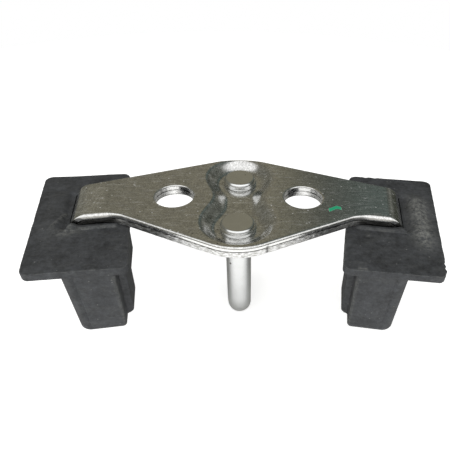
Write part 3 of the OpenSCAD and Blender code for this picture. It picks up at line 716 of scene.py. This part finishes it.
def studio_room():
    """What the metal mirrors above the floor: a bright wall of white cloth in front and overhead, a warm grey room
    behind, and a darker, cooler side to the right. It gives no light of its own to dull surfaces."""
    material, tree = new_tree("studio_room")
    place = add(tree, "ShaderNodeTexCoord").outputs["Object"]
    way = add(tree, "ShaderNodeVectorMath", {0: place}, operation="NORMALIZE").outputs[0]
    part = add(tree, "ShaderNodeSeparateXYZ", {"Vector": way})
    x, y, z = part.outputs
    tone = add(tree, "ShaderNodeValToRGB", {"Fac": add(tree, "ShaderNodeMapRange", {"Value": x, "From Min": -1.0}).outputs[0]})
    stops = ((0.0, "#6a6a62"), (0.45, "#7f7b6c"), (0.53, "#84806f"), (0.585, "#51544f"), (0.65, "#5b6764"),
             (0.73, "#50544e"), (0.8, "#666962"), (0.9, "#5c5e57"), (1.0, "#5a5c54"))
    while len(tone.color_ramp.elements) < len(stops):
        tone.color_ramp.elements.new(0.5)
    for stop, (spot, colour) in zip(tone.color_ramp.elements, stops):
        stop.position, stop.color = spot, linear(colour)
    # The white cloth hangs overhead and a little in front, wider than it is deep
    narrowed = add(tree, "ShaderNodeVectorMath", {0: way, 1: (0.36, 1.0, 1.0)}, operation="MULTIPLY").outputs[0]
    spread = add(tree, "ShaderNodeVectorMath", {0: narrowed}, operation="NORMALIZE").outputs[0]
    facing = add(tree, "ShaderNodeVectorMath", {0: spread, 1: (0.0, -0.5, 0.866)}, operation="DOT_PRODUCT").outputs["Value"]
    cloth = add(tree, "ShaderNodeMapRange", {"Value": facing, "From Min": 0.77, "From Max": 0.95}, interpolation_type="SMOOTHSTEP").outputs[0]
    # Below it, the far end of the paper stands up in front, half as bright
    sweep = add(tree, "ShaderNodeMapRange", {"Value": y, "From Min": -0.6, "From Max": -0.92, "To Max": 0.36}).outputs[0]
    pale = add(tree, "ShaderNodeMath", {0: cloth, 1: sweep}, operation="MAXIMUM").outputs[0]
    low = add(tree, "ShaderNodeMapRange", {"Value": z, "From Min": 0.48, "From Max": 0.25}).outputs[0]
    right = add(tree, "ShaderNodeMapRange", {"Value": x, "From Min": 0.05, "From Max": 0.3}).outputs[0]
    corner = add(tree, "ShaderNodeMath", {0: low, 1: right}, operation="MULTIPLY").outputs[0]
    far_right = add(tree, "ShaderNodeMapRange", {"Value": x, "From Min": 0.36, "From Max": 0.6}).outputs[0]
    lower = add(tree, "ShaderNodeMix", {"Factor": far_right, 6: linear("#4c4d45"), 7: linear("#93938b")}, data_type="RGBA").outputs[2]
    shade = add(tree, "ShaderNodeMapRange", {"Value": x, "From Min": 0.57, "From Max": 0.63}).outputs[0]
    shaded = add(tree, "ShaderNodeMix", {"Factor": shade, 6: lower, 7: linear("#3f4139")}, data_type="RGBA").outputs[2]
    walls = add(tree, "ShaderNodeMix", {"Factor": corner, 6: tone.outputs[0], 7: shaded}, data_type="RGBA").outputs[2]
    # The right side isn't plain: things about 6 degrees wide stand there, lighter and darker
    things = add(tree, "ShaderNodeTexNoise", {"Vector": way, "Scale": 9.0, "Detail": 3.0, "Roughness": 0.6}).outputs[0]
    uneven = add(tree, "ShaderNodeMapRange", {"Value": things, "From Min": 0.36, "From Max": 0.64, "To Min": 0.78, "To Max": 1.2}).outputs[0]
    filled = add(tree, "ShaderNodeMix", {"Factor": right, 6: walls, 7: uneven}, data_type="RGBA", blend_type="MULTIPLY").outputs[2]
    colour = add(tree, "ShaderNodeMix", {"Factor": pale, 6: filled, 7: linear("#ffffff")}, data_type="RGBA").outputs[2]
    level = add(tree, "ShaderNodeMapRange", {"Value": cloth, "To Min": 1.0, "To Max": 1.26}).outputs[0]
    glow = add(tree, "ShaderNodeEmission", {"Color": colour, "Strength": level})
    add(tree, "ShaderNodeOutputMaterial", {"Surface": glow.outputs[0]})
    return material


r, turn = np.meshgrid(np.linspace(0.0, 0.3, 8), np.linspace(0, 2 * math.pi, 49), indexing="ij")
sheet_of("floor", np.stack([r * np.cos(turn), r * np.sin(turn), np.full(r.shape, -0.0362)], -1), white_floor())
rise, turn = np.meshgrid(np.radians(np.linspace(-9, 90, 24)), np.radians(np.linspace(0, 360, 91)), indexing="ij")
room = sheet_of("room", 2.0 * np.stack([np.cos(rise) * np.cos(turn), np.cos(rise) * np.sin(turn), np.sin(rise)], -1), studio_room())
room.visible_camera = room.visible_diffuse = room.visible_shadow = False
room.visible_transmission = room.visible_volume_scatter = False


def lamp(name, place, aim, size, power, colour="#ffffff"):
    """A soft square lamp at a place, turned to a point, both in metres."""
    data = bpy.data.lights.new(name, "AREA")
    data.shape, data.size, data.size_y = "RECTANGLE", size[0], size[1]
    data.energy, data.color = power, linear(colour)[:3]
    back = np.subtract(place, aim) / np.linalg.norm(np.subtract(place, aim))
    side = np.cross((0, 0, 1), back)
    side /= np.linalg.norm(side)
    turn = Matrix(np.stack([side, np.cross(back, side), back], -1).tolist()).to_4x4()
    thing = bpy.data.objects.new(name, data)
    thing.matrix_world = Matrix.Translation(place) @ turn
    bpy.context.scene.collection.objects.link(thing)
    return thing


lamp("front_softbox", (-0.15, -1.0, 0.54), (0, 0, 0), (1.6, 1.0), 8.2).visible_glossy = False
lamp("side_fill", (-0.8, 0.1, 0.6), (0, 0, 0), (0.5, 0.5), 1.5).visible_glossy = False

world = bpy.data.worlds.new("pale_studio")
world.use_nodes = True
sky = world.node_tree
sky.nodes.clear()
path = add(sky, "ShaderNodeLightPath")
seen = add(sky, "ShaderNodeMath", {0: path.outputs["Is Camera Ray"], 1: path.outputs["Is Glossy Ray"]}, operation="ADD").outputs[0]
shown = add(sky, "ShaderNodeMath", {0: seen, 1: path.outputs["Is Transmission Ray"]}, operation="ADD", use_clamp=True).outputs[0]
level = add(sky, "ShaderNodeMapRange", {"Value": shown, "To Min": 0.55, "To Max": 1.0}).outputs[0]
air = add(sky, "ShaderNodeBackground", {"Color": linear("#ffffff"), "Strength": level})
add(sky, "ShaderNodeOutputWorld", {"Surface": air.outputs[0]})
bpy.context.scene.world = world

# The camera, from the viewing angle worked out of the photograph, for an image of 450 by 450
IMAGE, SENSOR = 450, 36.0
LENS_PX, OPTIC_X, OPTIC_Y = 443.24, 265.0, 250.0
down, heading, roll = math.radians(40.263), math.radians(-2.223), math.radians(-1.827)
ahead = np.array([-math.sin(heading) * math.cos(down), math.cos(heading) * math.cos(down), -math.sin(down)])
level_right = np.array([math.cos(heading), math.sin(heading), 0])
level_down = np.cross(ahead, level_right)
right = math.cos(roll) * level_right + math.sin(roll) * level_down
low = -math.sin(roll) * level_right + math.cos(roll) * level_down
camera_data = bpy.data.cameras.new("camera")
camera_data.sensor_width = SENSOR
camera_data.lens = LENS_PX / IMAGE * SENSOR
camera_data.shift_x = -(OPTIC_X - IMAGE / 2) / IMAGE
camera_data.shift_y = (OPTIC_Y - IMAGE / 2) / IMAGE
camera_data.clip_start, camera_data.clip_end = 0.005, 20.0
camera = bpy.data.objects.new("camera", camera_data)
turned = Matrix(np.stack([right, -low, -ahead], -1).tolist()).to_4x4()
camera.matrix_world = Matrix.Translation((0.003423, -0.096684, 0.063785)) @ turned
bpy.context.scene.collection.objects.link(camera)
bpy.context.scene.camera = camera
bpy.context.scene.view_settings.view_transform = "Standard"
